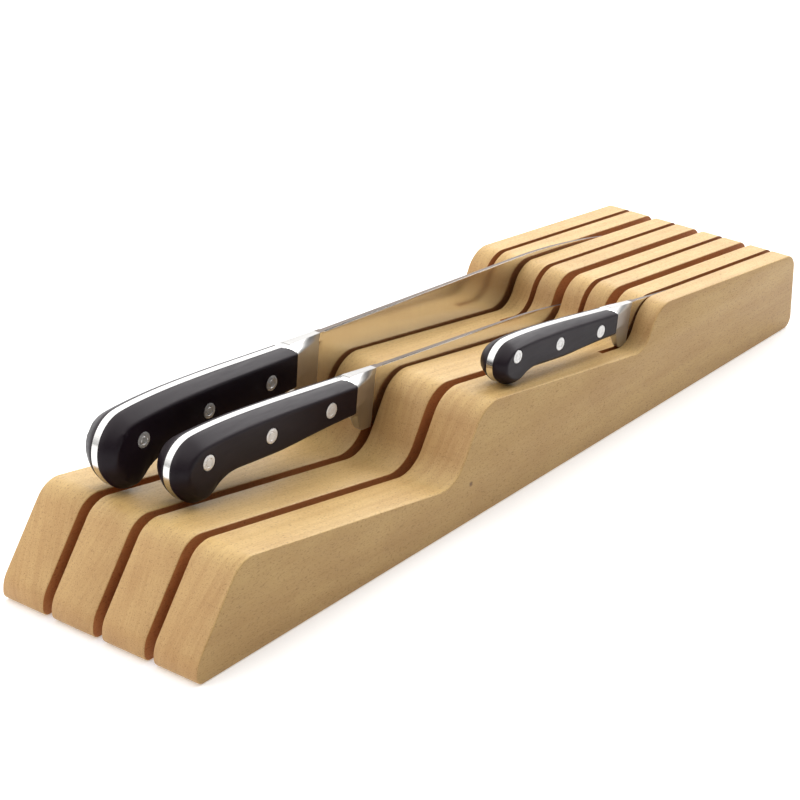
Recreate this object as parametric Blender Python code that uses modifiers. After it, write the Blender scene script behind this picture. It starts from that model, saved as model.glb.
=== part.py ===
"""Knife tray for a drawer, with a cook's knife, a utility knife and a paring knife lying in it.

Axes: X runs across the tray, Y along it (the low nose is at -Y), Z is up.
The origin is the middle of the tray's underside.
"""
import math

import bmesh
import bpy
import numpy as np
from mathutils import Vector
from mathutils.geometry import intersect_point_line

MM = 0.001
TOUCH_GAP = 0.3 * MM

# Tray: four boards on edge, side by side, with a wide slot between each two
TRAY_LENGTH = 400 * MM
BOARD_WIDTH = 21.2 * MM
SLOT_WIDTH = 4.4 * MM
BOARD_PITCH = BOARD_WIDTH + SLOT_WIDTH
BOARD_COUNT = 4
EDGE_EASING = 0.5 * MM

# Side profile of a board: distance from the nose, height, corner radius
BOARD_CORNERS = [
    (0.0, 0.0, 3.5),
    (0.0, 8.1, 12.0),
    (24.8, 41.2, 12.0),
    (148.9, 18.4, 15.0),
    (167.5, 48.3, 15.0),
    (279.5, 30.0, 10.5),
    (289.1, 48.1, 13.0),
    (400.0, 35.1, 7.0),
    (400.0, 0.0, 5.0),
]
ARC_STEP = math.radians(12)

# Saw kerf in the middle of each board, in the highest step only
KERF_WIDTH = 2.6 * MM
KERF_FLOOR = 14 * MM
SAW_RADIUS = 80 * MM
KERF_FLOOR_START = 313 * MM
KERF_CUTTER_TOP = 60 * MM

# Spacer strips glued between the boards, and dowels through boards and strips
SPACER_TOP = 12 * MM
SPACER_INSET = 30 * MM
DOWEL_RADIUS = 3 * MM
DOWEL_HEIGHT = 6 * MM
DOWEL_BLIND_WALL = 8 * MM
DOWEL_PLACES = {"front": -130 * MM, "middle": 0.0, "rear": 130 * MM}

# Handle outline, common to the knives: distance from the bolster towards the butt as a share of
# the scale's length, and depth below the spine line as a share of the handle's height
HANDLE_TOP = [(0.0, 0.01), (0.20, -0.01), (0.45, -0.03), (0.68, -0.02), (0.86, 0.04)]
HANDLE_BUTT = [(0.935, 0.13), (0.982, 0.34), (1.0, 0.62), (0.988, 0.92), (0.945, 1.18)]
HANDLE_HOOK = [(0.90, 1.33), (0.855, 1.38), (0.81, 1.29), (0.765, 1.12)]
HANDLE_BELLY = [(0.70, 1.02), (0.57, 1.0), (0.42, 0.98), (0.27, 0.91), (0.13, 0.85), (0.0, 0.81)]
HANDLE_OUTLINE = HANDLE_TOP + HANDLE_BUTT + HANDLE_HOOK + HANDLE_BELLY
THROAT_SHARE = HANDLE_BELLY[-1][1]
OUTLINE_STEPS = 2
# Places along the scale, closer together where the butt turns
SCALE_STATIONS = [0, 0.12, 0.25, 0.38, 0.5, 0.6, 0.69, 0.75, 0.80, 0.85, 0.895, 0.93, 0.958, 0.98, 0.993, 1]

# The scales slant from the tang out to their flat sides. The facet's depth follows the handle's
# width, and rows of the mesh run along it at these shares of its depth.
FACET_SLOPE = 0.56
FACET_ROWS = [0.0, 0.32, 0.66, 1.0]
FACET_RIM = 0.5 * MM
FACET_BULGE = 0.85
BOLSTER_SWEEP = 1.15

TANG_THICKNESS = 3.0 * MM
BOLSTER_FRONT = 1.5 * MM
EDGE_THICKNESS = 0.4 * MM
RIVET_HEAD_DEPTH = 2.5 * MM
RIVET_SHANK_SHARE = 0.65
RIVET_SIDES = 12
RIVET_PLACES = {"front": 0.0, "middle": 0.5, "rear": 1.0}

# Each knife's own frame lies on the spine where blade and bolster meet: +Y to the tip, +Z to the
# spine. "place" is that point in the tray, and "tilt" turns the tip down.
KNIVES = {
    "chef": {
        "place": (-BOARD_PITCH, -47.0 * MM, 62.1 * MM),
        "tilt": math.radians(5.0),
        "blade_length": 203 * MM,
        "heel_height": 45 * MM,
        "spine_thickness": 2.6 * MM,
        "spine_drop": 5.5 * MM,
        "drop_start": 0.68,
        "belly_power": 2.6,
        "scale_front": 17.3 * MM,
        "scale_length": 106.7 * MM,
        "handle_height": 24.0 * MM,
        "hook": 1.0,
        "front_width": 12.8 * MM,
        "butt_width": 16.6 * MM,
        "guard_thickness": 3.4 * MM,
        "rivet_shares": (0.145, 0.831),
        "rivet_depths": (0.45, 0.535),
        "rivet_radius": 3.2 * MM,
    },
    "utility": {
        "place": (0.0, -42.8 * MM, 52.9 * MM),
        "tilt": math.radians(6.9),
        "blade_length": 158 * MM,
        "heel_height": 25 * MM,
        "spine_thickness": 2.4 * MM,
        "spine_drop": 5.0 * MM,
        "drop_start": 0.62,
        "belly_power": 3.0,
        "scale_front": 15.6 * MM,
        "scale_length": 101.8 * MM,
        "handle_height": 20.6 * MM,
        "hook": 1.0,
        "front_width": 12.8 * MM,
        "butt_width": 16.6 * MM,
        "guard_thickness": 3.8 * MM,
        "rivet_shares": (0.154, 0.859),
        "rivet_depths": (0.423, 0.528),
        "rivet_radius": 3.2 * MM,
    },
    "paring": {
        "place": (1.5 * BOARD_PITCH, 80.7 * MM, 49.5 * MM),
        "tilt": math.radians(9.5),
        "blade_length": 90 * MM,
        "heel_height": 19.0 * MM,
        "spine_thickness": 1.9 * MM,
        "spine_drop": 4.0 * MM,
        "drop_start": 0.50,
        "belly_power": 2.8,
        "scale_front": 13.6 * MM,
        "scale_length": 82.9 * MM,
        "handle_height": 15.0 * MM,
        "hook": 0.80,
        "front_width": 9.6 * MM,
        "butt_width": 13.6 * MM,
        "guard_thickness": 1.9 * MM,
        "rivet_shares": (0.147, 0.882),
        "rivet_depths": (0.485, 0.443),
        "rivet_radius": 2.8 * MM,
    },
}

# Share of a blade's spine thickness left at each row from the spine to the cutting edge
BLADE_TAPER = [0.90, 1.0, 0.98, 0.95, 0.66, 0.36, 0.26, 0.15, 0.0]
BOLSTER_STEPS = 9
BLADE_STEPS = 11


def clear_scene():
    for old in list(bpy.data.objects):
        bpy.data.objects.remove(old, do_unlink=True)


def new_collection(name):
    group = bpy.data.collections.new(name)
    bpy.context.scene.collection.children.link(group)
    return group


def new_material(name, color, roughness, metallic):
    mat = bpy.data.materials.new(name)
    mat.use_nodes = True
    shader = mat.node_tree.nodes["Principled BSDF"]
    shader.inputs["Base Color"].default_value = (*color, 1.0)
    shader.inputs["Roughness"].default_value = roughness
    shader.inputs["Metallic"].default_value = metallic
    return mat


def rounded_outline(corners):
    """Replace each (y, z, radius) corner by an arc that touches both of its sides."""
    points = []
    for index, (y, z, radius) in enumerate(corners):
        corner = Vector((y, z))
        to_last = (Vector(corners[index - 1][:2]) - corner).normalized()
        to_next = (Vector(corners[(index + 1) % len(corners)][:2]) - corner).normalized()
        half_angle = to_last.angle(to_next) / 2
        centre = corner + (to_last + to_next).normalized() * radius / math.sin(half_angle)
        reach = radius / math.tan(half_angle)
        start = corner + to_last * reach - centre
        end = corner + to_next * reach - centre
        turn = math.atan2(start.x * end.y - start.y * end.x, start.dot(end))
        steps = max(2, round(abs(turn) / ARC_STEP))
        for step in range(steps + 1):
            angle = turn * step / steps
            points.append((
                centre.x + start.x * math.cos(angle) - start.y * math.sin(angle),
                centre.y + start.x * math.sin(angle) + start.y * math.cos(angle),
            ))
    return points


def smooth_line(points, steps):
    """Catmull-Rom curve through an open row of 2D points."""
    padded = [points[0], *points, points[-1]]
    line = []
    for index in range(len(points) - 1):
        before, start, end, after = [Vector(padded[index + k]) for k in range(4)]
        for step in range(steps):
            t = step / steps
            line.append(0.5 * (
                2 * start
                + (end - before) * t
                + (2 * before - 5 * start + 4 * end - after) * t ** 2
                + (3 * start - 3 * end + after - before) * t ** 3
            ))
    line.append(Vector(points[-1]))
    return line


def smoothstep(value):
    value = min(max(value, 0.0), 1.0)
    return value * value * (3 - 2 * value)


def outline_solid(name, outline, thickness, group, mat=None, parent=None, x=0.0):
    """Flat solid: a (y, z) outline in a plane across X, thick about the given x."""
    curve = bpy.data.curves.new(name, "CURVE")
    curve.dimensions = "2D"
    curve.fill_mode = "BOTH"
    curve.extrude = thickness / 2
    spline = curve.splines.new("POLY")
    spline.points.add(len(outline) - 1)
    for point, (y, z) in zip(spline.points, outline):
        point.co = (y, z, 0, 1)
    spline.use_cyclic_u = True
    flat = bpy.data.objects.new(name + "_curve", curve)
    group.objects.link(flat)
    flat.location = (x, 0, 0)
    flat.rotation_euler = (math.pi / 2, 0, math.pi / 2)
    flat.parent = parent
    bpy.context.view_layer.update()
    evaluated = flat.evaluated_get(bpy.context.evaluated_depsgraph_get())
    mesh = bpy.data.meshes.new_from_object(evaluated)
    cage = bmesh.new()
    cage.from_mesh(mesh)
    bmesh.ops.remove_doubles(cage, verts=cage.verts, dist=0.01 * MM)
    bmesh.ops.recalc_face_normals(cage, faces=cage.faces)
    cage.to_mesh(mesh)
    cage.free()
    solid = bpy.data.objects.new(name, mesh)
    group.objects.link(solid)
    solid.parent = parent
    solid.matrix_world = flat.matrix_world.copy()
    bpy.data.objects.remove(flat)
    if mat:
        mesh.materials.append(mat)
    return solid


def turned_solid(name, profile, sides, group, mat=None, parent=None, location=(0, 0, 0)):
    """Solid turned about X from a half profile of (x, radius) points that ends on the axis."""
    mesh = bpy.data.meshes.new(name)
    mesh.from_pydata([(radius, 0, x) for x, radius in profile],
                     [(k, k + 1) for k in range(len(profile) - 1)], [])
    turned = bpy.data.objects.new(name, mesh)
    group.objects.link(turned)
    turned.parent = parent
    turned.location = location
    turned.rotation_euler = (0, math.pi / 2, 0)
    screw = turned.modifiers.new("turn", "SCREW")
    screw.steps = sides
    screw.render_steps = sides
    screw.use_merge_vertices = True
    screw.merge_threshold = 0.01 * MM
    if mat:
        mesh.materials.append(mat)
    return turned


def cut(target, cutter):
    boolean = target.modifiers.new(cutter.name, "BOOLEAN")
    boolean.operation = "DIFFERENCE"
    boolean.object = cutter


def hide_cutter(cutter):
    cutter.hide_render = True
    cutter.display_type = "WIRE"


def smooth_shading(solid, angle=35):
    solid.data.shade_smooth()
    solid.data.set_sharp_from_angle(angle=math.radians(angle))


def dowel_profile(half_length, radius):
    return [(half_length, 0), (half_length, radius), (-half_length, radius), (-half_length, 0)]


def kerf_outline():
    """Saw cut seen from the side: the blade's arc down to the floor, then out past the back end."""
    start_angle = math.acos(1 - (KERF_CUTTER_TOP - KERF_FLOOR) / SAW_RADIUS)
    arc = []
    arc_steps = 8
    for step in range(arc_steps + 1):
        angle = start_angle * (1 - step / arc_steps)
        arc.append((
            KERF_FLOOR_START - SAW_RADIUS * math.sin(angle),
            KERF_FLOOR + SAW_RADIUS * (1 - math.cos(angle)),
        ))
    past_end = TRAY_LENGTH + 10 * MM
    outline = arc + [(past_end, KERF_FLOOR), (past_end, KERF_CUTTER_TOP)]
    return [(y - TRAY_LENGTH / 2, z) for y, z in outline]


def build_tray(group, cutters, wood, dowel_wood):
    corners = [(y * MM, z * MM, radius * MM) for y, z, radius in BOARD_CORNERS]
    profile = [(y - TRAY_LENGTH / 2, z) for y, z in rounded_outline(corners)]
    half_dowel = 1.5 * BOARD_PITCH + BOARD_WIDTH / 2 - DOWEL_BLIND_WALL

    holes = []
    for place, y in DOWEL_PLACES.items():
        location = (0, y, DOWEL_HEIGHT)
        bore = dowel_profile(half_dowel + TOUCH_GAP, DOWEL_RADIUS + TOUCH_GAP)
        hole = turned_solid("hole_" + place, bore, 12, cutters, location=location)
        hide_cutter(hole)
        holes.append(hole)
        pin = dowel_profile(half_dowel, DOWEL_RADIUS)
        dowel = turned_solid("dowel_" + place, pin, 12, group, dowel_wood, location=location)
        smooth_shading(dowel)

    board_names = ["side_board_left", "inner_board_left", "inner_board_right", "side_board_right"]
    for index, name in enumerate(board_names):
        x = (index - (BOARD_COUNT - 1) / 2) * BOARD_PITCH
        board = outline_solid(name, profile, BOARD_WIDTH, group, wood, x=x)
        easing = board.modifiers.new("easing", "BEVEL")
        easing.width = EDGE_EASING
        easing.segments = 1
        easing.limit_method = "ANGLE"
        easing.angle_limit = math.radians(60)
        kerf = outline_solid("kerf_" + name, kerf_outline(), KERF_WIDTH, cutters, x=x)
        hide_cutter(kerf)
        cut(board, kerf)
        for hole in holes:
            cut(board, hole)
        smooth_shading(board)

    half_spacer = TRAY_LENGTH / 2 - SPACER_INSET
    strip = [(-half_spacer, 0), (half_spacer, 0), (half_spacer, SPACER_TOP), (-half_spacer, SPACER_TOP)]
    for index, side in enumerate(["left", "middle", "right"]):
        x = (index - 1) * BOARD_PITCH
        thickness = SLOT_WIDTH - 2 * TOUCH_GAP
        spacer = outline_solid("spacer_" + side, strip, thickness, group, wood, x=x)
        for hole in holes:
            cut(spacer, hole)


def handle_outline(size, steps=OUTLINE_STEPS):
    """Outline of tang and scales, from the bolster's top round the butt and back to the throat."""
    outline = []
    for share in smooth_line(HANDLE_OUTLINE, steps):
        depth = share.y + max(0.0, share.y - 1) * (size["hook"] - 1)
        outline.append((-size["scale_front"] - share.x * size["scale_length"],
                        -depth * size["handle_height"]))
    return outline


def outline_heights(outline, y):
    """Height of the outline's upper and lower side at y."""
    butt = min(range(len(outline)), key=lambda k: outline[k][0])
    upper = outline[:butt + 1][::-1]
    lower = outline[butt:]
    return [float(np.interp(y, [p[0] for p in side], [p[1] for p in side])) for side in (upper, lower)]


def distance_to_line(point, line):
    nearest = math.inf
    for start, end in zip(line, line[1:]):
        foot, share = intersect_point_line(point, start, end)
        share = min(max(share, 0.0), 1.0)
        foot = Vector(start).lerp(Vector(end), share)
        nearest = min(nearest, (foot - Vector(point)).length)
    return nearest


def side_half_width(size, y):
    """Half the handle's width at its flat sides, growing from the bolster to the butt."""
    share = min(max((-y - size["scale_front"]) / size["scale_length"], 0.0), 1.0)
    return (size["front_width"] + (size["butt_width"] - size["front_width"]) * share) / 2


def facet_depth(size, y):
    return FACET_SLOPE * (side_half_width(size, y) - TANG_THICKNESS / 2)


def facet_half_width(size, y, depth):
    """Half the handle's width at a depth inside its outline."""
    share = min(depth / facet_depth(size, y), 1.0)
    inner = TANG_THICKNESS / 2 + TOUCH_GAP + FACET_RIM
    return inner + (side_half_width(size, y) - inner) * share ** FACET_BULGE


def row_heights(size, y, top, bottom):
    """Heights of the rows across a handle or blade, close together where the facets are."""
    facet = min(facet_depth(size, y), (top - bottom) / 2.6)
    upper = [top - share * facet for share in FACET_ROWS]
    lower = [bottom + share * facet for share in reversed(FACET_ROWS)]
    return upper + [(top + bottom) / 2] + lower


def ribbon_solid(name, stations, heights, thickness, offset, x, group, mat, parent):
    """Flat grid in the plane at x, through each station's row heights, given a varying thickness.

    offset 0 thickens it to both sides, 1 towards +X and -1 towards -X.
    """
    columns, rows = len(stations) - 1, len(heights[0]) - 1
    cage = bmesh.new()
    bmesh.ops.create_grid(cage, x_segments=columns, y_segments=rows, size=1)
    values = {}
    for vert in cage.verts:
        column = round((vert.co.x + 1) / 2 * columns)
        row = round((1 - vert.co.y) / 2 * rows)
        y, z = stations[column], heights[column][row]
        values[vert.index] = thickness(y, z, row)
        vert.co = (x, y, z)
    mesh = bpy.data.meshes.new(name)
    cage.to_mesh(mesh)
    cage.free()
    mesh.materials.append(mat)
    solid = bpy.data.objects.new(name, mesh)
    group.objects.link(solid)
    solid.parent = parent
    widest = max(values.values())
    weights = solid.vertex_groups.new(name="thickness")
    for index, value in values.items():
        weights.add([index], value / widest, "REPLACE")
    thicken = solid.modifiers.new("thicken", "SOLIDIFY")
    thicken.thickness = widest
    thicken.offset = offset
    thicken.vertex_group = weights.name
    return solid


def spine_height(size, y):
    start = size["drop_start"] * size["blade_length"]
    past = max(0.0, y - start) / (size["blade_length"] - start)
    return -size["spine_drop"] * past ** 1.8


def lower_edge(size, y):
    """Underside of the bolster behind the heel, cutting edge ahead of it."""
    heel = size["heel_height"]
    if y < BOLSTER_FRONT:
        throat = THROAT_SHARE * size["handle_height"]
        guard_start, guard_end = -0.72 * size["scale_front"], -0.30 * size["scale_front"]
        return -throat - (heel - throat) * smoothstep((y - guard_start) / (guard_end - guard_start))
    share = (y - BOLSTER_FRONT) / (size["blade_length"] - BOLSTER_FRONT)
    tip_height = 0.6 * MM
    drop = size["spine_drop"] + tip_height
    return -drop - (heel - drop) * (1 - share ** size["belly_power"])


def bolster_thickness(size, y, z):
    """As wide as the scales at their front end, swept in to the blade, thin down at the guard."""
    throat = THROAT_SHARE * size["handle_height"]
    front = -size["scale_front"]
    inside = min(-z, abs(throat + z)) if -z < 0.8 * throat else throat
    rear = 2 * facet_half_width(size, front, max(0.0, inside))
    below = smoothstep((-z - 0.7 * throat) / (size["heel_height"] - 0.7 * throat))
    rear += (size["guard_thickness"] - rear) * math.sqrt(below)
    share = (y - front) / (BOLSTER_FRONT - front)
    spine = size["spine_thickness"]
    return spine + (rear - spine) * (1 - share) ** BOLSTER_SWEEP


def blade_thickness(size, y, row):
    share = (y - BOLSTER_FRONT) / (size["blade_length"] - BOLSTER_FRONT)
    spine = size["spine_thickness"] * (1 - 0.55 * share)
    return EDGE_THICKNESS + (spine - EDGE_THICKNESS) * BLADE_TAPER[row]


def blade_and_bolster(name, size, group, steel, parent):
    rear = -size["scale_front"]
    stations = [rear + (BOLSTER_FRONT - rear) * k / BOLSTER_STEPS for k in range(BOLSTER_STEPS)]
    for step in range(BLADE_STEPS + 1):
        share = math.sin(math.pi / 2 * step / BLADE_STEPS)
        stations.append(BOLSTER_FRONT + (size["blade_length"] - BOLSTER_FRONT) * share)
    heights = [row_heights(size, y, spine_height(size, y), lower_edge(size, y)) for y in stations]

    def thickness(y, z, row):
        if y < BOLSTER_FRONT:
            return bolster_thickness(size, y, z)
        return blade_thickness(size, y, row)

    return ribbon_solid(name, stations, heights, thickness, 0, 0, group, steel, parent)


def add_tang(blade, kind, size, cutters, frame):
    """Join the full tang, a flat plate with the handle's outline, to the bolster's rear."""
    outline = handle_outline(size)
    root = -size["scale_front"] + 2 * MM
    inset = 1.0 * MM
    start = (root, outline[0][1] - inset)
    end = (root, outline[-1][1] + inset)
    tang = outline_solid(kind + "_tang", [start, *outline, end], TANG_THICKNESS, cutters, parent=frame)
    hide_cutter(tang)
    join = blade.modifiers.new("tang", "BOOLEAN")
    join.operation = "UNION"
    join.object = tang


def handle_scale(name, sign, size, group, mat, frame):
    """Handle scale: flat against the tang, slanted facets all round its flat outer side."""
    outline = handle_outline(size)
    rear, front = min(p[0] for p in outline), -size["scale_front"] - TOUCH_GAP
    stations = [front + (rear - front) * share for share in reversed(SCALE_STATIONS)]
    heights = [row_heights(size, y, *outline_heights(outline, y)) for y in stations]
    inner = TANG_THICKNESS / 2 + TOUCH_GAP

    def thickness(y, z, row):
        return facet_half_width(size, y, distance_to_line((y, z), outline)) - inner

    return ribbon_solid(name, stations, heights, thickness, sign, sign * inner, group, mat, frame)


def add_rivets(kind, size, group, cutters, mat, frame, drilled):
    """Two-headed rivets right through the handle, each in a stepped hole."""
    head = size["rivet_radius"]
    shank = head * RIVET_SHANK_SHARE
    gap = TOUCH_GAP
    for place, share in RIVET_PLACES.items():
        first, last = size["rivet_shares"]
        y = -size["scale_front"] - (first + (last - first) * share) * size["scale_length"]
        half_width = side_half_width(size, y)
        step = half_width - RIVET_HEAD_DEPTH
        past = half_width + 1 * MM
        first, last = size["rivet_depths"]
        location = (0, y, -(first + (last - first) * share) * size["handle_height"])
        profile = [(half_width, 0), (half_width, head), (step, head), (step, shank),
                   (-step, shank), (-step, head), (-half_width, head), (-half_width, 0)]
        rivet = turned_solid(f"{kind}_rivet_{place}", profile, RIVET_SIDES, group, mat, frame, location)
        smooth_shading(rivet)
        bore = [(past, 0), (past, head + gap), (step - gap, head + gap), (step - gap, shank + gap),
                (gap - step, shank + gap), (gap - step, head + gap), (-past, head + gap), (-past, 0)]
        hole = turned_solid(f"{kind}_bore_{place}", bore, RIVET_SIDES, cutters, None, frame, location)
        hide_cutter(hole)
        for target in drilled:
            cut(target, hole)


def build_knife(kind, size, group, cutters, steel, handle_black, rivet_steel):
    frame = bpy.data.objects.new(kind + "_knife", None)
    group.objects.link(frame)
    frame.location = size["place"]
    frame.rotation_euler = (-size["tilt"], 0, 0)
    bpy.context.view_layer.update()
    blade = blade_and_bolster(kind + "_blade", size, group, steel, frame)
    add_tang(blade, kind, size, cutters, frame)
    scales = [handle_scale(f"{kind}_scale_{side}", sign, size, group, handle_black, frame)
              for side, sign in (("left", -1), ("right", 1))]
    add_rivets(kind, size, group, cutters, rivet_steel, frame, [blade, *scales])
    for solid in [blade, *scales]:
        smooth_shading(solid)


def main():
    clear_scene()
    group = new_collection("knife_tray")
    cutters = new_collection("cutters")
    wood = new_material("beech", (0.71, 0.50, 0.28), 0.45, 0.0)
    dowel_wood = new_material("dowel_beech", (0.62, 0.42, 0.22), 0.6, 0.0)
    steel = new_material("blade_steel", (0.78, 0.77, 0.75), 0.16, 1.0)
    handle_black = new_material("handle_black", (0.022, 0.018, 0.020), 0.34, 0.0)
    rivet_steel = new_material("rivet_steel", (0.85, 0.85, 0.84), 0.22, 1.0)
    build_tray(group, cutters, wood, dowel_wood)
    for kind, size in KNIVES.items():
        build_knife(kind, size, group, cutters, steel, handle_black, rivet_steel)


main()
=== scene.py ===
"""Looks of the knife tray: fine boards, forged knives, wood, steel and handle materials, light."""
import math

import bmesh
import bpy
import numpy as np
from mathutils import Matrix, Vector
from mathutils.geometry import intersect_point_line


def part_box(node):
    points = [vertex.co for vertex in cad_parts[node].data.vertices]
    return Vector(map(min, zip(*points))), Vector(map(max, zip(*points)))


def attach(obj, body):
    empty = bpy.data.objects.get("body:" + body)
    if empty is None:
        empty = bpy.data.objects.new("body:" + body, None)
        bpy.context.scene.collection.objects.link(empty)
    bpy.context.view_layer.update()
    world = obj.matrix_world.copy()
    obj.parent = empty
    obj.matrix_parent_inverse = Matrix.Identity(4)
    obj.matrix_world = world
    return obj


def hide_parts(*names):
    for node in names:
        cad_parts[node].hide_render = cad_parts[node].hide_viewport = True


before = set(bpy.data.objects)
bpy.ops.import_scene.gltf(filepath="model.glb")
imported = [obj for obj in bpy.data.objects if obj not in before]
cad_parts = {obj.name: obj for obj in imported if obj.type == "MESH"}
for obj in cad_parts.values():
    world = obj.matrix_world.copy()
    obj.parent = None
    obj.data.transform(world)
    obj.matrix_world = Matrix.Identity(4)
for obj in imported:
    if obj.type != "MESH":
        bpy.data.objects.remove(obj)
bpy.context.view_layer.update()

MM = 0.001

# Tray
TRAY_LENGTH = 400 * MM
EDGE_EASING = 0.55 * MM
BOARD_CORNERS = [  # distance from the nose, height, corner radius
    (0.0, 0.0, 3.5),
    (0.0, 8.1, 12.0),
    (24.8, 41.2, 12.0),
    (148.9, 18.4, 15.0),
    (167.5, 48.3, 15.0),
    (279.5, 30.0, 10.5),
    (289.1, 48.1, 13.0),
    (400.0, 35.1, 7.0),
    (400.0, 0.0, 5.0),
]
ARC_STEP = math.radians(3.5)
KERF_WIDTH = 2.6 * MM
KERF_FLOOR = 14 * MM
SAW_RADIUS = 80 * MM
KERF_FLOOR_START = 313 * MM
KERF_CUTTER_TOP = 60 * MM
DOWEL_CLEARANCE = 0.3 * MM
OUTER_FACE = 48.5 * MM  # faces further out than this are the tray's outer sides
PIN_KNOT = (49.0 * MM, -41.0 * MM, 16.3 * MM)

# Handle outline: distance from the bolster to the butt as a share of the scale's length, and depth
# below the spine line as a share of the handle's height
HANDLE_TOP = [(0.0, 0.01), (0.20, -0.01), (0.45, -0.03), (0.68, -0.02), (0.86, 0.04)]
HANDLE_BUTT = [(0.935, 0.13), (0.982, 0.34), (1.0, 0.62), (0.988, 0.92), (0.945, 1.18)]
HANDLE_HOOK = [(0.90, 1.33), (0.855, 1.38), (0.81, 1.29), (0.765, 1.12)]
HANDLE_BELLY = [(0.70, 1.02), (0.57, 1.0), (0.42, 0.98), (0.27, 0.91), (0.13, 0.85), (0.0, 0.81)]
HANDLE_OUTLINE = HANDLE_TOP + HANDLE_BUTT + HANDLE_HOOK + HANDLE_BELLY
THROAT_SHARE = HANDLE_BELLY[-1][1]
OUTLINE_STEPS = 6
FACET_SLOPE = 0.56
FACET_BULGE = 0.85
FACET_RIM = 0.8 * MM
FACET_SOFTNESS = 0.5 * MM
TANG_THICKNESS = 3.0 * MM
BOLSTER_FRONT = 1.5 * MM
BOLSTER_SWEEP = 1.15
BOLSTER_WALL = 0.03 * MM
BOLSTER_STEP = 0.3 * MM
BOLSTER_GROOVE = 1.0 * MM
BOLSTER_LINE_RADIUS = 3.5 * MM
SCALE_CORNER = (4.8 * MM, 3.0 * MM)
EDGE_THICKNESS = 0.2 * MM
TIP_HEIGHT = 0.6 * MM
SPINE_DROP_POWER = 1.8
SPINE_THINNING = 0.55
SPINE_EASING = 0.35 * MM
GUARD_START = 0.72  # distance behind the heel, as a share of scale_front
GUARD_END = 0.30
GRIND_TAPER = 0.86  # how much of its thickness a blade loses from spine to edge
GRIND_POWER = 1.15
SHARPENED_FROM = 0.975  # share of the blade's height where the final bevel starts
BUTT_INSET = 0.01 * MM
SEAM = 0.06 * MM

KNIVES = {
    "chef": {
        "place": (-25.6 * MM, -47.0 * MM, 62.1 * MM),
        "tilt": math.radians(5.0),
        "blade_length": 203 * MM,
        "heel_height": 45 * MM,
        "spine_thickness": 2.6 * MM,
        "spine_drop": 5.5 * MM,
        "drop_start": 0.68,
        "belly_power": 2.6,
        "scale_front": 17.3 * MM,
        "scale_length": 106.7 * MM,
        "handle_height": 24.0 * MM,
        "hook": 1.0,
        "front_width": 12.8 * MM,
        "butt_width": 16.6 * MM,
        "guard_thickness": 3.4 * MM,
    },
    "utility": {
        "place": (0.0, -42.8 * MM, 52.9 * MM),
        "tilt": math.radians(6.9),
        "blade_length": 158 * MM,
        "heel_height": 25 * MM,
        "spine_thickness": 2.4 * MM,
        "spine_drop": 5.0 * MM,
        "drop_start": 0.62,
        "belly_power": 3.0,
        "scale_front": 15.6 * MM,
        "scale_length": 101.8 * MM,
        "handle_height": 20.6 * MM,
        "hook": 1.0,
        "front_width": 12.8 * MM,
        "butt_width": 16.6 * MM,
        "guard_thickness": 3.8 * MM,
    },
    "paring": {
        "place": (38.4 * MM, 80.7 * MM, 49.5 * MM),
        "tilt": math.radians(9.5),
        "blade_length": 90 * MM,
        "heel_height": 19.0 * MM,
        "spine_thickness": 1.9 * MM,
        "spine_drop": 4.0 * MM,
        "drop_start": 0.50,
        "belly_power": 2.8,
        "scale_front": 13.6 * MM,
        "scale_length": 82.9 * MM,
        "handle_height": 15.0 * MM,
        "hook": 0.80,
        "front_width": 9.6 * MM,
        "butt_width": 13.6 * MM,
        "guard_thickness": 1.9 * MM,
    },
}

# Colours, linear red, green, blue and alpha
WHITE = (1.0, 1.0, 1.0, 1.0)
BEECH_LIGHT = (0.71, 0.49, 0.20)
BEECH_DARK = (0.53, 0.32, 0.115)
# sawn spacer and dowel wood, darkened as painted shade at the bottoms of the slots
SAWN_PAINTED_SHADE_PALE = (0.30, 0.15, 0.07)
SAWN_PAINTED_SHADE_DEEP = (0.22, 0.10, 0.045)
FLECK = (0.27, 0.135, 0.045, 1.0)
RAY_MARK = (0.25, 0.13, 0.06, 1.0)
KNOT_BROWN = (0.16, 0.075, 0.03, 1.0)
END_GRAIN_SHADE = (0.73, 0.61, 0.61, 1.0)
# painted shade of the slot walls, reddened like light bounced between them
SLOT_WALL_PAINTED_SHADE = (0.72, 0.43, 0.34, 1.0)
# painted shade darkening the tray's outer sides, with a slight olive tint of the side grain
OUTER_SIDE_PAINTED_SHADE = (0.75, 0.70, 0.63, 1.0)
STEEL_BRIGHT = (0.80, 0.785, 0.765, 1.0)
STEEL_GREY = (0.74, 0.73, 0.71, 1.0)
STEEL_BOLSTER = (0.34, 0.33, 0.32, 1.0)
STEEL_SPINE = (0.17, 0.14, 0.12, 1.0)
# painted shade in the step between bolster and blade
STEEL_STEP_PAINTED_SHADE = (0.16, 0.11, 0.08, 1.0)
BLACK_DEEP = (0.0080, 0.0040, 0.0075, 1.0)
BLACK_SOFT = (0.0120, 0.0070, 0.0110, 1.0)
# painted sheen on the handle's upward-facing facets
BLACK_PAINTED_SHEEN = (0.040, 0.033, 0.037, 1.0)
RIVET_BRIGHT = (0.76, 0.75, 0.74, 1.0)
RIVET_GREY = (0.60, 0.59, 0.58, 1.0)
FLOOR_COLOR = (0.92, 0.92, 0.92, 1.0)

# Studio
FLOOR_SIZE = 60
FLOOR_GAP = 0.2 * MM
FLOOR_GLOW = 0.22
ROOM_BRIGHT_SIDE = {"Z": 0.77, "X": -0.60, "Y": 0.20}
ROOM_DIMMEST = 0.08
ROOM_BRIGHTEST = 1.70
STUDIO_LAMPS = [  # name, place, size, watts
    ("key", (0.0, 1.55, 1.15), (1.6, 0.8), 22),
    ("front_fill", (-0.3, -1.7, 1.0), (1.4, 1.0), 6),
]

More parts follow.
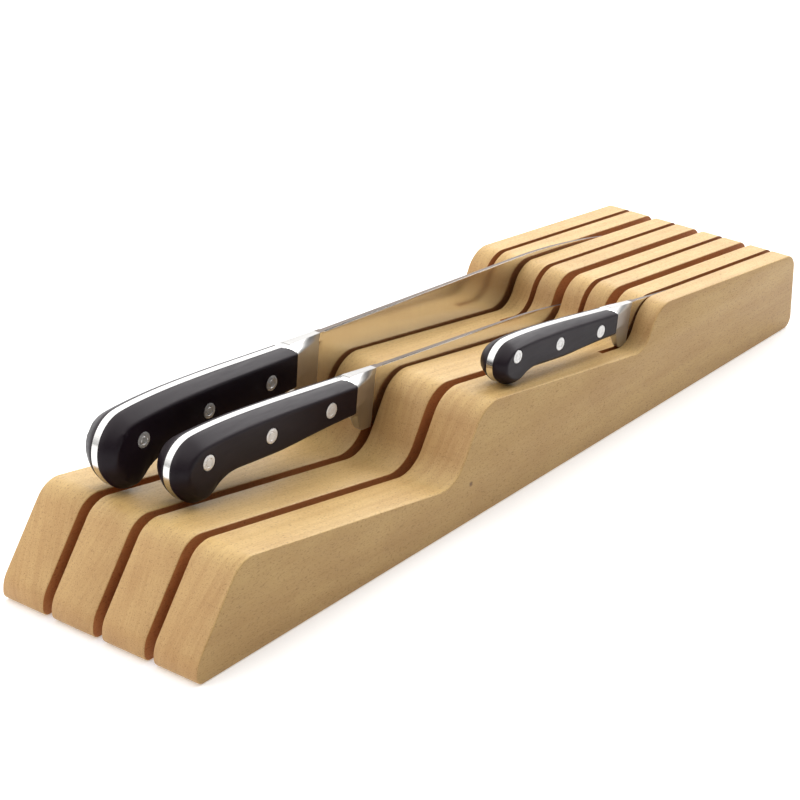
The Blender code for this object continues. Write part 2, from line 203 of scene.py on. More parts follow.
# Camera, fitted to the photo's viewing angle
CAMERA_PLACE = Vector((0.6112, -0.7906, 0.5081))
CAMERA_RIGHT = Vector((0.7809, 0.6247, 0.0029))
CAMERA_UP = Vector((-0.2752, 0.3398, 0.8993))
CAMERA_LENS = 121.5


# ---------------------------------------------------------------- node helpers

class Nodes:
    """Small helper that adds nodes to a material and links their inputs."""

    def __init__(self, tree):
        self.tree = tree

    def add(self, kind, inputs=None, **settings):
        node = self.tree.nodes.new(kind)
        for key, value in settings.items():
            setattr(node, key, value)
        for key, value in (inputs or {}).items():
            socket = node.inputs[key]
            if isinstance(value, bpy.types.NodeSocket):
                self.tree.links.new(value, socket)
            else:
                socket.default_value = value
        return node

    def math(self, operation, first, second=0.0):
        return self.add("ShaderNodeMath", {0: first, 1: second}, operation=operation).outputs[0]

    def scaled(self, vector, scale):
        node = self.add("ShaderNodeMapping", {"Vector": vector, "Scale": scale})
        return node.outputs[0]

    def noise(self, vector, scale, detail=2.0, roughness=0.5, distortion=0.0):
        inputs = {"Vector": vector, "Scale": scale, "Detail": detail, "Roughness": roughness,
                  "Distortion": distortion}
        return self.add("ShaderNodeTexNoise", inputs).outputs["Fac"]

    def ramp(self, value, low, high, out_low=0.0, out_high=1.0):
        inputs = {"Value": value, "From Min": low, "From Max": high, "To Min": out_low, "To Max": out_high}
        return self.add("ShaderNodeMapRange", inputs, interpolation_type="SMOOTHSTEP").outputs[0]

    def mix(self, factor, first, second, blend="MIX"):
        node = self.add("ShaderNodeMix", {0: factor, 6: first, 7: second}, data_type="RGBA",
                        blend_type=blend)
        return node.outputs[2]

    def bump(self, height, distance, strength):
        inputs = {"Height": height, "Distance": distance, "Strength": strength}
        return self.add("ShaderNodeBump", inputs).outputs[0]


def new_material(name):
    mat = bpy.data.materials.new(name)
    mat.use_nodes = True
    return mat, Nodes(mat.node_tree), mat.node_tree.nodes["Principled BSDF"]


# ---------------------------------------------------------------- materials

def beech_material(name, shift, ring_tilt, light, dark):
    """Straight-grained beech: growth rings across X, fibres along Y, short ray flecks.

    End grain gets a pinker tone of its own. Slot walls get painted shade, reddened like light bounced inside
    the slots, and the outer sides get painted shade with a slight olive tint.
    """
    mat, n, shader = new_material(name)
    coords = n.add("ShaderNodeTexCoord")
    place = n.add("ShaderNodeMapping", {"Vector": coords.outputs["Object"], "Location": shift,
                                        "Rotation": (0, ring_tilt, 0)}).outputs[0]
    bend = n.add("ShaderNodeTexNoise", {"Vector": n.scaled(place, (14, 3, 14)), "Scale": 1.0,
                                        "Detail": 1.0}).outputs["Color"]
    bend = n.add("ShaderNodeVectorMath", {0: bend, 1: (0.5, 0.5, 0.5)}, operation="SUBTRACT").outputs[0]
    bend = n.add("ShaderNodeVectorMath", {0: bend, "Scale": 0.006}, operation="SCALE").outputs[0]
    grain = n.add("ShaderNodeVectorMath", {0: place, 1: bend}, operation="ADD").outputs[0]

    rings = n.ramp(n.noise(n.scaled(grain, (420, 2.2, 30)), 1.0, detail=3.0, roughness=0.55), 0.34, 0.68)
    streaks = n.ramp(n.noise(n.scaled(grain, (1500, 9, 70)), 1.0, detail=2.0), 0.3, 0.7)
    fibres = n.ramp(n.noise(n.scaled(grain, (2600, 90, 2600)), 1.0, detail=3.0, roughness=0.6), 0.3, 0.7)
    flecks = n.ramp(n.noise(n.scaled(place, (2600, 780, 2600)), 1.0, detail=1.0), 0.55, 0.74)
    cross = n.ramp(n.noise(n.scaled(place, (60, 1500, 1100)), 1.0, detail=1.0), 0.5, 0.75)
    blotches = n.ramp(n.noise(n.scaled(place, (70, 40, 70)), 1.0, detail=3.0), 0.32, 0.68)

    tone = n.math("ADD", n.math("MULTIPLY", rings, 0.30), n.math("MULTIPLY", fibres, 0.20))
    tone = n.math("ADD", tone, n.math("MULTIPLY", blotches, 0.28))
    tone = n.math("ADD", tone, n.math("MULTIPLY", streaks, 0.16))
    color = n.mix(tone, (*light, 1.0), (*dark, 1.0))
    color = n.mix(n.math("MULTIPLY", flecks, 0.55), color, FLECK)
    color = n.mix(n.math("MULTIPLY", cross, 0.07), color, RAY_MARK)

    split = n.add("ShaderNodeSeparateXYZ", {0: coords.outputs["Normal"]})
    end_grain = n.math("POWER", n.math("ABSOLUTE", split.outputs["Y"]), 1.5)
    color = n.mix(n.math("MULTIPLY", end_grain, 0.85), color, END_GRAIN_SHADE, "MULTIPLY")
    sideways = n.ramp(n.math("ABSOLUTE", split.outputs["X"]), 0.72, 0.95)
    across = n.add("ShaderNodeSeparateXYZ", {0: coords.outputs["Object"]}).outputs["X"]
    inside = n.math("LESS_THAN", n.math("ABSOLUTE", across), OUTER_FACE)
    # slot walls: rougher sawn faces that also get painted shade
    sawn_and_painted_shade = n.math("MULTIPLY", sideways, inside)
    outer = n.math("SUBTRACT", sideways, sawn_and_painted_shade)
    color = n.mix(sawn_and_painted_shade, color, SLOT_WALL_PAINTED_SHADE, "MULTIPLY")
    # painted shade on the outer sides, where less light falls
    color = n.mix(outer, color, OUTER_SIDE_PAINTED_SHADE, "MULTIPLY")
    ragged = n.math("MULTIPLY", n.noise(n.scaled(place, (1400, 1400, 1400)), 1.0), 0.8 * MM)
    reach = n.add("ShaderNodeVectorMath", {0: coords.outputs["Object"], 1: PIN_KNOT},
                  operation="DISTANCE").outputs["Value"]
    knot = n.ramp(n.math("ADD", reach, ragged), 0.8 * MM, 1.9 * MM, 0.85, 0.0)
    color = n.mix(knot, color, KNOT_BROWN)
    n.tree.links.new(color, shader.inputs["Base Color"])

    rough = n.math("ADD", n.math("MULTIPLY", fibres, 0.10), n.math("MULTIPLY", flecks, 0.08))
    rough = n.math("ADD", rough, n.math("MULTIPLY", sawn_and_painted_shade, 0.25))
    n.tree.links.new(n.math("ADD", rough, 0.38), shader.inputs["Roughness"])
    relief = n.math("SUBTRACT", n.math("MULTIPLY", fibres, 0.5), flecks)
    n.tree.links.new(n.bump(relief, 0.00006, 0.5), shader.inputs["Normal"])
    shader.inputs["Specular IOR Level"].default_value = 0.35
    return mat


def steel_material(name, size):
    """Finely polished blade, satin bolster, bright tang, a rough-ground spine, and painted shade as a dark
    line in the step between bolster and blade.
    """
    mat, n, shader = new_material(name)
    coords = n.add("ShaderNodeTexCoord")
    place = n.add("ShaderNodeMapping", {"Vector": coords.outputs["Object"],
                                        "Rotation": (size["tilt"], 0, 0)}).outputs[0]
    spot = n.add("ShaderNodeSeparateXYZ", {0: place})
    along = spot.outputs["Y"]
    facing = n.add("ShaderNodeSeparateXYZ", {0: coords.outputs["Normal"]})
    forged = n.ramp(along, BOLSTER_FRONT - 0.1 * MM, BOLSTER_FRONT, 1.0, 0.0)
    front = -size["scale_front"]
    satin = n.math("MULTIPLY", forged, n.ramp(along, front - 3 * MM, front + 2 * MM))
    spine = n.math("MULTIPLY", n.ramp(facing.outputs["Z"], 0.4, 0.8), n.math("SUBTRACT", 1.0, forged))
    # painted shade: a thin dark line along the step between bolster and blade
    off_line = n.math("ABSOLUTE", n.math("SUBTRACT", along, BOLSTER_FRONT))
    below = n.ramp(spot.outputs["Z"], -BOLSTER_LINE_RADIUS - 1 * MM, -BOLSTER_LINE_RADIUS, 1.0, 0.0)
    line = n.math("MULTIPLY", n.ramp(off_line, 0.15 * MM, 0.45 * MM, 0.6, 0.0), below)

    fine = n.noise(n.scaled(place, (60, 2600, 60)), 1.0, detail=4.0, roughness=0.65)
    broad = n.noise(n.scaled(place, (40, 60, 40)), 1.0, detail=2.0)
    rough = n.math("ADD", n.math("MULTIPLY", fine, 0.08), n.math("MULTIPLY", broad, 0.06))
    rough = n.math("ADD", rough, n.math("MULTIPLY", satin, 0.20))
    rough = n.math("ADD", rough, n.math("MULTIPLY", spine, 0.30))
    n.tree.links.new(n.math("ADD", rough, 0.12), shader.inputs["Roughness"])
    tint = n.mix(n.ramp(fine, 0.35, 0.65), STEEL_BRIGHT, STEEL_GREY)
    tint = n.mix(n.math("MULTIPLY", satin, 0.65), tint, STEEL_BOLSTER)
    tint = n.mix(spine, tint, STEEL_SPINE)
    tint = n.mix(line, tint, STEEL_STEP_PAINTED_SHADE)
    n.tree.links.new(tint, shader.inputs["Base Color"])
    n.tree.links.new(n.bump(fine, 0.000004, 0.35), shader.inputs["Normal"])
    shader.inputs["Metallic"].default_value = 1.0
    shader.inputs["Anisotropic"].default_value = 0.35
    return mat


def handle_material():
    """Black moulded plastic, satin, with a faint purple cast, fine rub marks and a painted sheen lightening
    the upward-facing facets.
    """
    mat, n, shader = new_material("handle_black")
    texture = n.add("ShaderNodeTexCoord")
    coords = texture.outputs["Object"]
    cloud = n.noise(n.scaled(coords, (90, 40, 90)), 1.0, detail=3.0)
    grit = n.noise(n.scaled(coords, (2500, 2500, 2500)), 1.0, detail=2.0)
    rubs = n.noise(n.scaled(coords, (900, 60, 900)), 1.0, detail=3.0, distortion=0.4)
    color = n.mix(n.ramp(cloud, 0.35, 0.65), BLACK_DEEP, BLACK_SOFT)
    upward = n.add("ShaderNodeSeparateXYZ", {0: texture.outputs["Normal"]}).outputs["Z"]
    # painted sheen: upward-facing facets lightened, varied by the cloud noise
    upward_painted_sheen = n.math("MULTIPLY", n.ramp(upward, 0.15, 0.75), n.ramp(cloud, 0.2, 0.7, 0.6, 1.0))
    color = n.mix(upward_painted_sheen, color, BLACK_PAINTED_SHEEN)
    n.tree.links.new(color, shader.inputs["Base Color"])
    rough = n.math("ADD", n.ramp(rubs, 0.3, 0.7, 0.30, 0.40), n.math("MULTIPLY", grit, 0.05))
    n.tree.links.new(rough, shader.inputs["Roughness"])
    height = n.math("ADD", n.math("MULTIPLY", grit, 0.7), n.math("MULTIPLY", rubs, 0.3))
    n.tree.links.new(n.bump(height, 0.000012, 0.4), shader.inputs["Normal"])
    shader.inputs["Specular IOR Level"].default_value = 0.15
    return mat


def rivet_material():
    """Bright rivet with faint turning rings around its axis and tiny scratches."""
    mat, n, shader = new_material("rivet_steel")
    coords = n.add("ShaderNodeTexCoord").outputs["Object"]
    split = n.add("ShaderNodeSeparateXYZ", {0: coords})
    radius = n.math("SQRT", n.math("ADD", n.math("POWER", split.outputs["Y"], 2.0),
                                   n.math("POWER", split.outputs["Z"], 2.0)))
    rings = n.noise(n.add("ShaderNodeCombineXYZ", {0: n.math("MULTIPLY", radius, 3800)}).outputs[0],
                    1.0, detail=2.0)
    grit = n.noise(n.scaled(coords, (1500, 1500, 1500)), 1.0, detail=3.0)
    rough = n.math("ADD", n.math("MULTIPLY", rings, 0.10), n.math("MULTIPLY", grit, 0.08))
    n.tree.links.new(n.math("ADD", rough, 0.34), shader.inputs["Roughness"])
    tint = n.mix(rings, RIVET_BRIGHT, RIVET_GREY)
    n.tree.links.new(tint, shader.inputs["Base Color"])
    n.tree.links.new(n.bump(rings, 0.000006, 0.4), shader.inputs["Normal"])
    shader.inputs["Metallic"].default_value = 0.6
    return mat


# ---------------------------------------------------------------- shapes

def rounded_outline(corners):
    """Replace each (y, z, radius) corner by an arc that touches both of its sides."""
    points = []
    for index, (y, z, radius) in enumerate(corners):
        corner = Vector((y, z))
        to_last = (Vector(corners[index - 1][:2]) - corner).normalized()
        to_next = (Vector(corners[(index + 1) % len(corners)][:2]) - corner).normalized()
        half_angle = to_last.angle(to_next) / 2
        centre = corner + (to_last + to_next).normalized() * radius / math.sin(half_angle)
        reach = radius / math.tan(half_angle)
        start = corner + to_last * reach - centre
        end = corner + to_next * reach - centre
        turn = math.atan2(start.x * end.y - start.y * end.x, start.dot(end))
        steps = max(2, round(abs(turn) / ARC_STEP))
        for step in range(steps + 1):
            angle = turn * step / steps
            points.append((
                centre.x + start.x * math.cos(angle) - start.y * math.sin(angle),
                centre.y + start.x * math.sin(angle) + start.y * math.cos(angle),
            ))
    return points


def kerf_outline():
    """Saw cut seen from the side: the blade's arc down to the floor, then out past the back end."""
    start_angle = math.acos(1 - (KERF_CUTTER_TOP - KERF_FLOOR) / SAW_RADIUS)
    outline = []
    steps = 24
    for step in range(steps + 1):
        angle = start_angle * (1 - step / steps)
        outline.append((KERF_FLOOR_START - SAW_RADIUS * math.sin(angle),
                        KERF_FLOOR + SAW_RADIUS * (1 - math.cos(angle))))
    past_end = TRAY_LENGTH + 10 * MM
    outline += [(past_end, KERF_FLOOR), (past_end, KERF_CUTTER_TOP)]
    return [(y - TRAY_LENGTH / 2, z) for y, z in outline]


def new_object(name, mesh):
    obj = bpy.data.objects.new(name, mesh)
    bpy.context.scene.collection.objects.link(obj)
    return obj


def prism(name, outline, low_x, high_x, easing=0.0):
    """Solid with a (y, z) outline between two X planes, its rim eased all round."""
    cage = bmesh.new()
    ring = [cage.verts.new((low_x, y, z)) for y, z in outline]
    face = cage.faces.new(ring)
    swept = bmesh.ops.extrude_face_region(cage, geom=[face])
    moved = [g for g in swept["geom"] if isinstance(g, bmesh.types.BMVert)]
    bmesh.ops.translate(cage, verts=moved, vec=(high_x - low_x, 0, 0))
    bmesh.ops.recalc_face_normals(cage, faces=cage.faces)
    if easing:
        rim = [e for e in cage.edges
               if len({round(abs(f.normal.x)) for f in e.link_faces}) == 2]
        bmesh.ops.bevel(cage, geom=rim, offset=easing, segments=3, profile=0.5, affect="EDGES",
                        clamp_overlap=True)
    mesh = bpy.data.meshes.new(name)
    cage.to_mesh(mesh)
    cage.free()
    return new_object(name, mesh)


def apply_modifiers(obj):
    """Keep the modified mesh as the object's own, without its modifiers."""
    graph = bpy.context.evaluated_depsgraph_get()
    mesh = bpy.data.meshes.new_from_object(obj.evaluated_get(graph))
    obj.modifiers.clear()
    obj.data = mesh


def cut_away(obj, cutters):
    """Cut each cutter's shape out of the object and delete the cutter."""
    for cutter in cutters:
        boolean = obj.modifiers.new(cutter.name, "BOOLEAN")
        boolean.operation = "DIFFERENCE"
        boolean.object = cutter
    apply_modifiers(obj)
    for cutter in cutters:
        bpy.data.objects.remove(cutter)


def turned(name, profile, sides=48):
    """Solid turned about X from (x, radius) points; the first and the last lie on the axis."""
    cage = bmesh.new()
    verts = [cage.verts.new((x, radius, 0)) for x, radius in profile]
    edges = [cage.edges.new(pair) for pair in zip(verts, verts[1:])]
    bmesh.ops.spin(cage, geom=verts + edges, cent=(0, 0, 0), axis=(1, 0, 0), angle=2 * math.pi,
                   steps=sides, use_merge=True)
    bmesh.ops.remove_doubles(cage, verts=cage.verts, dist=0.002 * MM)
    bmesh.ops.recalc_face_normals(cage, faces=cage.faces)
    mesh = bpy.data.meshes.new(name)
    cage.to_mesh(mesh)
    cage.free()
    return new_object(name, mesh)


def smooth(obj, angle=35):
    obj.data.shade_smooth()
    obj.data.set_sharp_from_angle(angle=math.radians(angle))


def smooth_line(points, steps):
    """Catmull-Rom curve through an open row of 2D points."""
    padded = [points[0], *points, points[-1]]
    line = []
    for index in range(len(points) - 1):
        before, start, end, after = [Vector(padded[index + k]) for k in range(4)]
        for step in range(steps):
            t = step / steps
            line.append(0.5 * (
                2 * start
                + (end - before) * t
                + (2 * before - 5 * start + 4 * end - after) * t ** 2
                + (3 * start - 3 * end + after - before) * t ** 3
            ))
    line.append(Vector(points[-1]))
    return line


def smoothstep(value):
    value = min(max(value, 0.0), 1.0)
    return value * value * (3 - 2 * value)


def handle_outline(size):
    """The handle's (y, z) outline, from the top of the bolster round the butt to its underside."""
    outline = []
    for share in smooth_line(HANDLE_OUTLINE, OUTLINE_STEPS):
        depth = share.y + max(0.0, share.y - 1) * (size["hook"] - 1)
        outline.append((-size["scale_front"] - share.x * size["scale_length"],
                        -depth * size["handle_height"]))
    return outline


def outline_heights(outline, y):
    """Height of the outline's upper and lower side at y."""
    butt = min(range(len(outline)), key=lambda k: outline[k][0])
    upper = outline[:butt + 1][::-1]
    lower = outline[butt:]
    return [float(np.interp(y, [p[0] for p in side], [p[1] for p in side])) for side in (upper, lower)]


def distance_to_line(point, line):
    nearest = math.inf
    for start, end in zip(line, line[1:]):
        foot, share = intersect_point_line(point, start, end)
        share = min(max(share, 0.0), 1.0)
        foot = Vector(start).lerp(Vector(end), share)
        nearest = min(nearest, (foot - Vector(point)).length)
    return nearest


def side_half_width(size, y):
    """Half the handle's width at its flat sides, growing from the bolster to the butt."""
    share = min(max((-y - size["scale_front"]) / size["scale_length"], 0.0), 1.0)
    return (size["front_width"] + (size["butt_width"] - size["front_width"]) * share) / 2


def facet_depth(size, y):
    """How far below the outline the slanted facet meets the flat side."""
    return FACET_SLOPE * (side_half_width(size, y) - TANG_THICKNESS / 2)


def facet_half_width(size, y, depth):
    """Half the handle's width at a depth inside its outline: slanted facet, then flat side."""
    inner = TANG_THICKNESS / 2 + FACET_RIM
    side = side_half_width(size, y)
    facet = inner + (side - inner) * max(depth / facet_depth(size, y), 0.0) ** FACET_BULGE
    blend = max(0.0, 1 - abs(facet - side) / FACET_SOFTNESS)
    return min(facet, side) - blend * blend * FACET_SOFTNESS / 4


def corner_drop(size, y):
    """How far the scales' rounded top front corner lies below the outline at y."""
    length, height = SCALE_CORNER
    reach = min((y + size["scale_front"] + length) / length, 1.0)
    return height * (1 - math.sqrt(1 - reach * reach)) if reach > 0 else 0.0


def row_depths(height, near_edge, middle_rows):
    """Depths below the upper side: the near-edge list from both sides, even rows between."""
    fit = min(1.0, height / (2.5 * near_edge[-1]))
    upper = [depth * fit for depth in near_edge]
    gap = height - 2 * upper[-1]
    middle = [upper[-1] + gap * k / (middle_rows + 1) for k in range(1, middle_rows + 1)]
    lower = [height - depth for depth in reversed(upper)]
    return upper + middle + lower


def ribbon(name, points, thickness, offset, x):
    """Closed solid: a grid at x through columns of (y, z) points, thickened by a function."""
    columns, rows = len(points) - 1, len(points[0]) - 1
    cage = bmesh.new()
    bmesh.ops.create_grid(cage, x_segments=columns, y_segments=rows, size=1)
    values = {}
    for vert in cage.verts:
        column = round((vert.co.x + 1) / 2 * columns)
        row = round((1 - vert.co.y) / 2 * rows)
        y, z = points[column][row]
        values[vert.index] = thickness(column, row, y, z)
        vert.co = (x, y, z)
    mesh = bpy.data.meshes.new(name)
    cage.to_mesh(mesh)
    cage.free()
    solid = new_object(name, mesh)
    widest = max(values.values())
    weights = solid.vertex_groups.new(name="thickness")
    for index, value in values.items():
        weights.add([index], value / widest, "REPLACE")
    thicken = solid.modifiers.new("thicken", "SOLIDIFY")
    thicken.thickness = widest
    thicken.offset = offset
    thicken.vertex_group = weights.name
    apply_modifiers(solid)
    return solid


# ---------------------------------------------------------------- knives

def spine_height(size, y):
    """Straight spine that drops towards the tip."""
    start = size["drop_start"] * size["blade_length"]
    past = max(0.0, y - start) / (size["blade_length"] - start)
    return -size["spine_drop"] * past ** SPINE_DROP_POWER


def lower_edge(size, y):
    """Underside of the bolster behind the heel, cutting edge ahead of it."""
    heel = size["heel_height"]
    if y < BOLSTER_FRONT:
        throat = THROAT_SHARE * size["handle_height"]
        guard_start = -GUARD_START * size["scale_front"]
        guard_end = -GUARD_END * size["scale_front"]
        return -throat - (heel - throat) * smoothstep((y - guard_start) / (guard_end - guard_start))
    share = (y - BOLSTER_FRONT) / (size["blade_length"] - BOLSTER_FRONT)
    drop = size["spine_drop"] + TIP_HEIGHT
    return -drop - (heel - drop) * (1 - share ** size["belly_power"])


def bolster_thickness(size, y, z):
    """As wide as the scales at their front end, swept in to the blade, thin down at the guard."""
    throat = THROAT_SHARE * size["handle_height"]
    front = -size["scale_front"]
    inside = min(-z, abs(throat + z)) if -z < 0.8 * throat else throat
    rear = 2 * facet_half_width(size, front, max(0.0, inside))
    below = smoothstep((-z - 0.7 * throat) / (size["heel_height"] - 0.7 * throat))
    rear += (size["guard_thickness"] - rear) * math.sqrt(below)
    share = (y - front) / (BOLSTER_FRONT - front)
    end = size["spine_thickness"] + 2 * BOLSTER_STEP
    return end + (rear - end) * max(0.0, 1 - share) ** BOLSTER_SWEEP


def blade_thickness(size, y, z):
    """Thinner towards the tip and the edge, with an eased spine and a sharpened last stretch."""
    share = max(0.0, y - BOLSTER_FRONT) / (size["blade_length"] - BOLSTER_FRONT)
    spine = size["spine_thickness"] * (1 - SPINE_THINNING * share)
    top, bottom = spine_height(size, y), lower_edge(size, max(y, BOLSTER_FRONT))
    depth = (top - z) / max(top - bottom, 0.1 * MM)
    taper = 1 - GRIND_TAPER * max(depth, 0.0) ** GRIND_POWER
    if depth > SHARPENED_FROM:
        taper *= max(0.0, 1 - depth) / (1 - SHARPENED_FROM)
    eased = min(1.0, 0.86 + 0.14 * (top - z) / SPINE_EASING)
    return EDGE_THICKNESS + (spine - EDGE_THICKNESS) * max(0.0, taper) * eased


def line_shift(y, depth):
    """Forward curve of the line between bolster and blade where it meets the spine."""
    below = max(0.0, 1 - depth / BOLSTER_LINE_RADIUS)
    fade = max(0.0, 1 - abs(y - BOLSTER_FRONT) / (8 * MM))
    return BOLSTER_LINE_RADIUS * (1 - math.sqrt(1 - below * below)) * fade


def forged_steel(name, size):
    """Tang, bolster and blade in one closed ribbon from the butt to the tip."""
    outline = handle_outline(size)
    butt, front = min(p[0] for p in outline) + BUTT_INSET, -size["scale_front"]
    corner = front - SCALE_CORNER[0]
    tang_steps, corner_steps, bolster_steps, blade_steps = 60, 16, 34, 90
    tang = [corner + (butt - corner) * math.sin(math.pi / 2 * (1 - k / tang_steps))
            for k in range(tang_steps)]
    tang += [corner + (front - BOLSTER_WALL - corner) * math.sin(math.pi / 2 * k / corner_steps)
             for k in range(corner_steps + 1)]
    line = BOLSTER_FRONT - 0.5 * MM
    bolster = [front + (line - front) * k / bolster_steps for k in range(bolster_steps + 1)]
    bolster.append(BOLSTER_FRONT - 0.2 * MM)
    blade_length = size["blade_length"]
    blade = [BOLSTER_FRONT + (blade_length - BOLSTER_FRONT) * math.sin(math.pi / 2 * k / blade_steps)
             for k in range(blade_steps + 1)]
    stations = tang + bolster + blade
    near_edge = [0, 0.3 * MM, 0.8 * MM, 1.4 * MM, 2.0 * MM, 2.5 * MM, 3.0 * MM, 3.5 * MM, 4.2 * MM]
    filled = len(near_edge) - 1
    points = []
    for index, y in enumerate(stations):
        if index < len(tang):
            top, bottom = outline_heights(outline, y)
        else:
            top, bottom = spine_height(size, y), lower_edge(size, y)
        depths = row_depths(top - bottom, near_edge, 9)
        drop = corner_drop(size, y) if index < len(tang) else 0.0
        if drop > 0:
            rest = len(depths) - filled - 1
            span = top - bottom - drop - BOLSTER_WALL
            depths = ([drop * k / filled for k in range(filled + 1)]
                      + [drop + BOLSTER_WALL + span * k / (rest - 1) for k in range(rest)])
        points.append([(y + line_shift(y, depth), top - depth) for depth in depths])

    def thickness(column, row, y, z):
        if column < len(tang):
            if row <= filled and corner_drop(size, stations[column]) > 0:
                top = outline_heights(outline, stations[column])[0]
                return 2 * facet_half_width(size, front, top - z)
            return TANG_THICKNESS
        if column < len(tang) + len(bolster):
            groove = BOLSTER_GROOVE if column == len(tang) + len(bolster) - 1 else 0.0
            return bolster_thickness(size, stations[column], z) - groove
        return blade_thickness(size, y, z)

    return ribbon(name, points, thickness, 0, 0)


def handle_scale(name, sign, size):
    """One handle scale: slanted facet all round, flat side, rounded top front corner."""
    outline = handle_outline(size)
    rear, front = min(p[0] for p in outline) + BUTT_INSET, -size["scale_front"] - SEAM
    corner = front - SCALE_CORNER[0]
    steps, corner_steps = 70, 14
    stations = [corner + (rear - corner) * math.sin(math.pi / 2 * (1 - k / steps)) for k in range(steps)]
    stations += [corner + (front - corner) * math.sin(math.pi / 2 * k / corner_steps)
                 for k in range(corner_steps + 1)]
    near_edge = [0, 0.25 * MM, 0.7 * MM, 1.2 * MM, 1.7 * MM, 2.2 * MM, 2.7 * MM, 3.2 * MM, 3.8 * MM,
                 4.4 * MM]
    points = []
    for y in stations:
        top, bottom = outline_heights(outline, y)
        top -= corner_drop(size, y)
        points.append([(y, top - depth) for depth in row_depths(top - bottom, near_edge, 5)])
    inner = TANG_THICKNESS / 2 + SEAM

    def thickness(column, row, y, z):
        depth = distance_to_line((y, z), outline)
        rounding = 0.3 * MM * max(0.0, 1 - depth / (0.6 * MM)) ** 2
        return facet_half_width(size, y, depth) - inner - rounding

    return ribbon(name, points, thickness, sign, sign * inner)


def rivet_profile(half_width, head):
    """Flush head with a softened rim and the thin ring of the centre pin on its face."""
    face = [(0.0, 0.0), (0.0, 0.42), (-0.16, 0.46), (-0.16, 0.54), (0.0, 0.58), (0.01, 0.90),
            (-0.06, 0.97), (-0.22, 1.0)]
    right = [(half_width + depth * MM, share * head) for depth, share in face]
    left = [(-x, radius) for x, radius in reversed(right)]
    return right + left


def knife_matrix(size):
    """Place of the knife's own frame: origin on the spine above the heel, +Y towards the tip."""
    return Matrix.Translation(size["place"]) @ Matrix.Rotation(-size["tilt"], 4, "X")


def place_piece(piece, matrix, body, slot, mat, *nodes):
    """Turn the mesh itself, so that its own box stays square to the room, and move it in place."""
    place, turn, _ = matrix.decompose()
    piece.data.transform(turn.to_matrix().to_4x4())
    piece.data.materials.clear()
    piece.data.materials.append(mat)
    piece.matrix_world = Matrix.Translation(place)
    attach(piece, body)
    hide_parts(*nodes)


def build_knife(kind, size, steel, black, rivet_steel):
    """Forged steel, three rivets and two scales, drilled where the rivets sit."""
    body = kind + "_knife"
    matrix = knife_matrix(size)
    forged = forged_steel(kind + "_forged_steel", size)
    smooth(forged, 24)
    place_piece(forged, matrix, body, "blade_steel", steel, kind + "_blade")

    holes = {"left": [], "right": []}
    for place in ("front", "middle", "rear"):
        node = f"{kind}_rivet_{place}"
        low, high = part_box(node)
        centre = matrix.inverted() @ ((low + high) / 2)
        half_width = (high.x - low.x) / 2
        head = (high.z - low.z) / 2
        rivet = turned(node + "_head", rivet_profile(half_width, head))
        smooth(rivet, 30)
        seat = matrix @ Matrix.Translation(centre)
        place_piece(rivet, seat, body, "rivet_steel", rivet_steel, node)
        for side, sign in (("left", -1), ("right", 1)):
            start, end = half_width - 1.2 * MM, half_width + 1 * MM
            radius = head + 0.22 * MM
            hole = turned(node + "_hole_" + side,
                          [(sign * start, 0), (sign * start, radius), (sign * end, radius), (sign * end, 0)])
            hole.matrix_world = Matrix.Translation(centre)
            holes[side].append(hole)

    for side, sign in (("left", -1), ("right", 1)):
        scale = handle_scale(f"{kind}_grip_{side}", sign, size)
        bpy.context.view_layer.update()
        cut_away(scale, holes[side])
        smooth(scale, 40)
        place_piece(scale, matrix, body, "handle_black", black, f"{kind}_scale_{side}")


# ---------------------------------------------------------------- tray

def build_board(node, mat):
    """Stepped board with its saw kerf and the holes for the three cross dowels."""
    low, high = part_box(node)
    corners = [(y * MM, z * MM, radius * MM) for y, z, radius in BOARD_CORNERS]
    profile = [(y - TRAY_LENGTH / 2, z) for y, z in rounded_outline(corners)]
    board = prism(node + "_wood", profile, low.x, high.x, EDGE_EASING)
    middle = (low.x + high.x) / 2
    kerf = prism(node + "_kerf", kerf_outline(), middle - KERF_WIDTH / 2, middle + KERF_WIDTH / 2)
    cutters = [kerf]
    for place in ("front", "middle", "rear"):
        pin_low, pin_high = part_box("dowel_" + place)
        centre = (pin_low + pin_high) / 2
        radius = (pin_high.z - pin_low.z) / 2 + DOWEL_CLEARANCE
        end = pin_high.x + DOWEL_CLEARANCE
        hole = turned(f"{node}_hole_{place}", [(-end, 0), (-end, radius), (end, radius), (end, 0)], 24)
        hole.matrix_world = Matrix.Translation(centre)
        cutters.append(hole)
    bpy.context.view_layer.update()
    cut_away(board, cutters)
    smooth(board, 30)
    place_piece(board, Matrix.Identity(4), "tray", "beech", mat, node)


def build_tray():
    """The four boards, each with its own stretch of wood: texture shift, ring tilt and tone."""
    settings = {
        "side_board_left": ((0.3, 0.11, 0.2), 0.30, 1.00),
        "inner_board_left": ((0.9, 0.57, 0.4), -0.22, 0.96),
        "inner_board_right": ((1.6, 0.83, 0.1), 0.16, 0.97),
        "side_board_right": ((2.3, 0.29, 0.7), -0.12, 0.96),
    }
    for node, (shift, tilt, tone) in settings.items():
        mat = beech_material("beech_" + node, shift, tilt,
                             [c * tone for c in BEECH_LIGHT], [c * tone for c in BEECH_DARK])
        build_board(node, mat)
    # spacers and dowels: sawn beech darkened as painted shade at the slot bottoms
    sawn_and_painted_shade = beech_material("beech_sawn", (3.1, 0.4, 0.9), 0.5, SAWN_PAINTED_SHADE_PALE, SAWN_PAINTED_SHADE_DEEP)
    for name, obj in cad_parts.items():
        if name.startswith(("spacer", "dowel")):
            obj.data.materials.clear()
            obj.data.materials.append(sawn_and_painted_shade)


# ---------------------------------------------------------------- studio

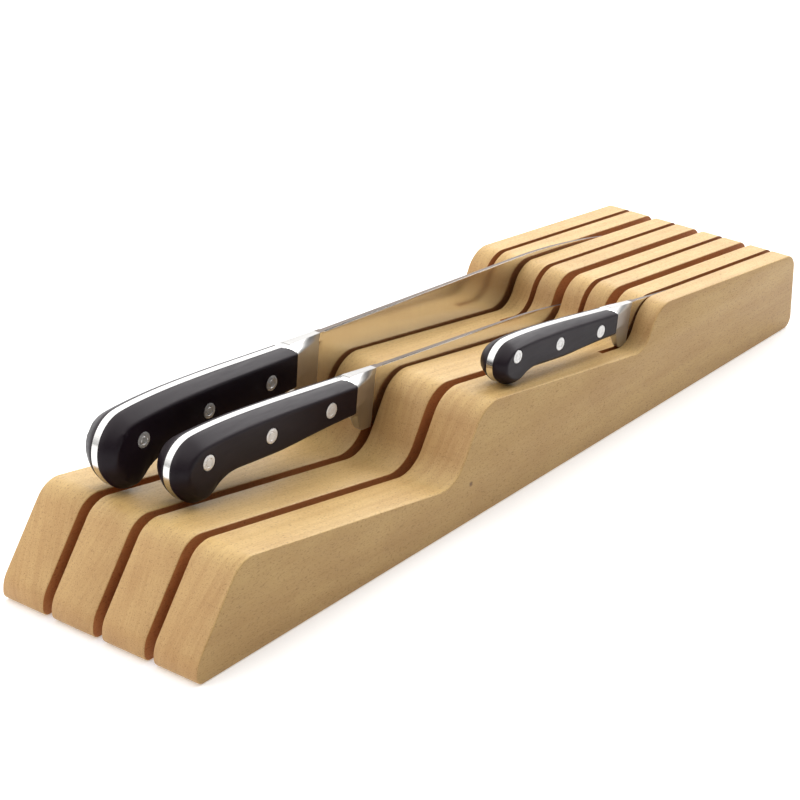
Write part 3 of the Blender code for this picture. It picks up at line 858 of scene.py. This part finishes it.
def area_light(name, place, size, power):
    """Soft rectangular lamp that points at the middle of the tray's footprint."""
    data = bpy.data.lights.new(name, "AREA")
    data.shape = "RECTANGLE"
    data.size, data.size_y = size
    data.energy = power
    light = bpy.data.objects.new(name, data)
    bpy.context.scene.collection.objects.link(light)
    light.location = place
    light.rotation_euler = (-Vector(place)).to_track_quat("-Z", "Y").to_euler()


def build_studio():
    """White room, brightest high up on the left, with two soft lamps and a pale floor."""
    world = bpy.data.worlds.new("studio")
    bpy.context.scene.world = world
    world.use_nodes = True
    n = Nodes(world.node_tree)
    background = world.node_tree.nodes["Background"]
    direction = n.add("ShaderNodeTexCoord").outputs["Generated"]
    split = n.add("ShaderNodeSeparateXYZ", {0: direction})
    parts = [n.math("MULTIPLY", split.outputs[axis], share) for axis, share in ROOM_BRIGHT_SIDE.items()]
    toward = n.math("ADD", n.math("ADD", parts[0], parts[1]), parts[2])
    glow = n.ramp(toward, -0.15, 0.9, ROOM_DIMMEST, ROOM_BRIGHTEST)
    world.node_tree.links.new(glow, background.inputs["Strength"])
    background.inputs["Color"].default_value = WHITE

    for name, place, size, power in STUDIO_LAMPS:
        area_light(name, place, size, power)

    bpy.ops.mesh.primitive_plane_add(size=FLOOR_SIZE, location=(0, 0, -FLOOR_GAP))
    floor = bpy.context.object
    floor.name = "studio_floor"
    mat, _, shader = new_material("studio_floor")
    shader.inputs["Base Color"].default_value = FLOOR_COLOR
    shader.inputs["Roughness"].default_value = 0.8
    shader.inputs["Emission Color"].default_value = WHITE
    shader.inputs["Emission Strength"].default_value = FLOOR_GLOW
    floor.data.materials.append(mat)


def build_camera():
    """Camera at the photo's viewing angle."""
    data = bpy.data.cameras.new("camera")
    data.lens = CAMERA_LENS
    data.sensor_width = 36
    camera = bpy.data.objects.new("camera", data)
    bpy.context.scene.collection.objects.link(camera)
    back = CAMERA_RIGHT.cross(CAMERA_UP)
    matrix = Matrix((CAMERA_RIGHT, CAMERA_UP, back)).transposed().to_4x4()
    matrix.translation = CAMERA_PLACE
    camera.matrix_world = matrix
    bpy.context.scene.camera = camera


build_camera()
build_tray()
handle_black = handle_material()
rivet_steel = rivet_material()
for kind, size in KNIVES.items():
    build_knife(kind, size, steel_material("steel_" + kind, size), handle_black, rivet_steel)
build_studio()
bpy.context.scene.view_settings.view_transform = "Standard"
